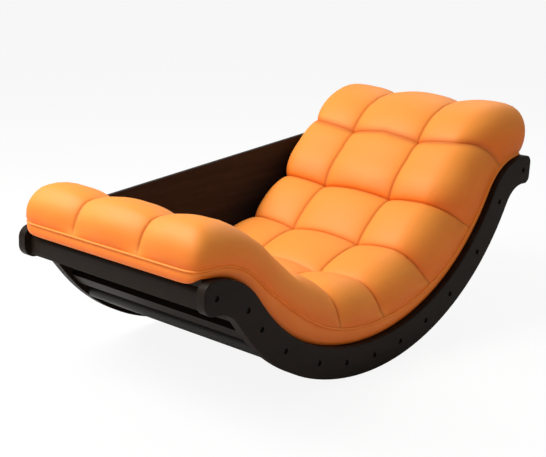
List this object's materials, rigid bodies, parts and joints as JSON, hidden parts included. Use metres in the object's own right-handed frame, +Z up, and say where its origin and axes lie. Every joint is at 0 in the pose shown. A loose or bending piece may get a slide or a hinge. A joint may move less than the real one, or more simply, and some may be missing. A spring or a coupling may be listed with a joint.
{
  "type": "rocking chaise lounge",
  "caption": "Rocking chaise lounge: S-curved side rails on round rockers, a bent deck on cross rails, one side panel and a lift-off tufted cushion.",
  "frame": {"origin": "on the floor midway between the two side rails, under the lowest point of their rockers", "axes": "+X to the sitter's left, +Y towards the head end, +Z up"},
  "size_m": [0.768, 1.4301, 0.6478],
  "materials": {
    "frame_wood": "dark stained, satin lacquer",
    "panel_wood": "dark stained, satin lacquer",
    "dowel_wood": "bare beech",
    "stretcher_steel": "black satin lacquer",
    "fastener_steel": "black oxide",
    "foam": "open-cell foam",
    "cushion_cloth": "brushed microfibre"
  },
  "bodies": {
    "frame": {"right_side_rail": "frame_wood", "left_side_rail": "frame_wood", "cross_rail_01": "frame_wood", "cross_rail_02": "frame_wood", "cross_rail_03": "frame_wood", "cross_rail_04": "frame_wood", "cross_rail_05": "frame_wood", "cross_rail_06": "frame_wood", "cross_rail_07": "frame_wood", "cross_rail_08": "frame_wood", "cross_rail_09": "frame_wood", "cross_rail_10": "frame_wood", "cross_rail_11": "frame_wood", "cross_rail_12": "frame_wood", "cross_rail_13": "frame_wood", "bent_deck": "frame_wood", "foot_stretcher": "stretcher_steel", "side_panel": "panel_wood", "panel_batten": "panel_wood", "panel_dowels": "dowel_wood", "right_connector_bolts": "fastener_steel", "left_connector_bolts": "fastener_steel", "deck_screws": "fastener_steel", "batten_screws": "fastener_steel"},
    "cushion": {"cushion_foam": "foam", "cushion_boxing": "cushion_cloth", "cushion_top": "cushion_cloth"}
  },
  "joints": [
    {"name": "cushion_lift", "type": "slide", "parent": "frame", "child": "cushion", "axis": [0, 0, 1], "range_m": [0, 0.3]}
  ]
}
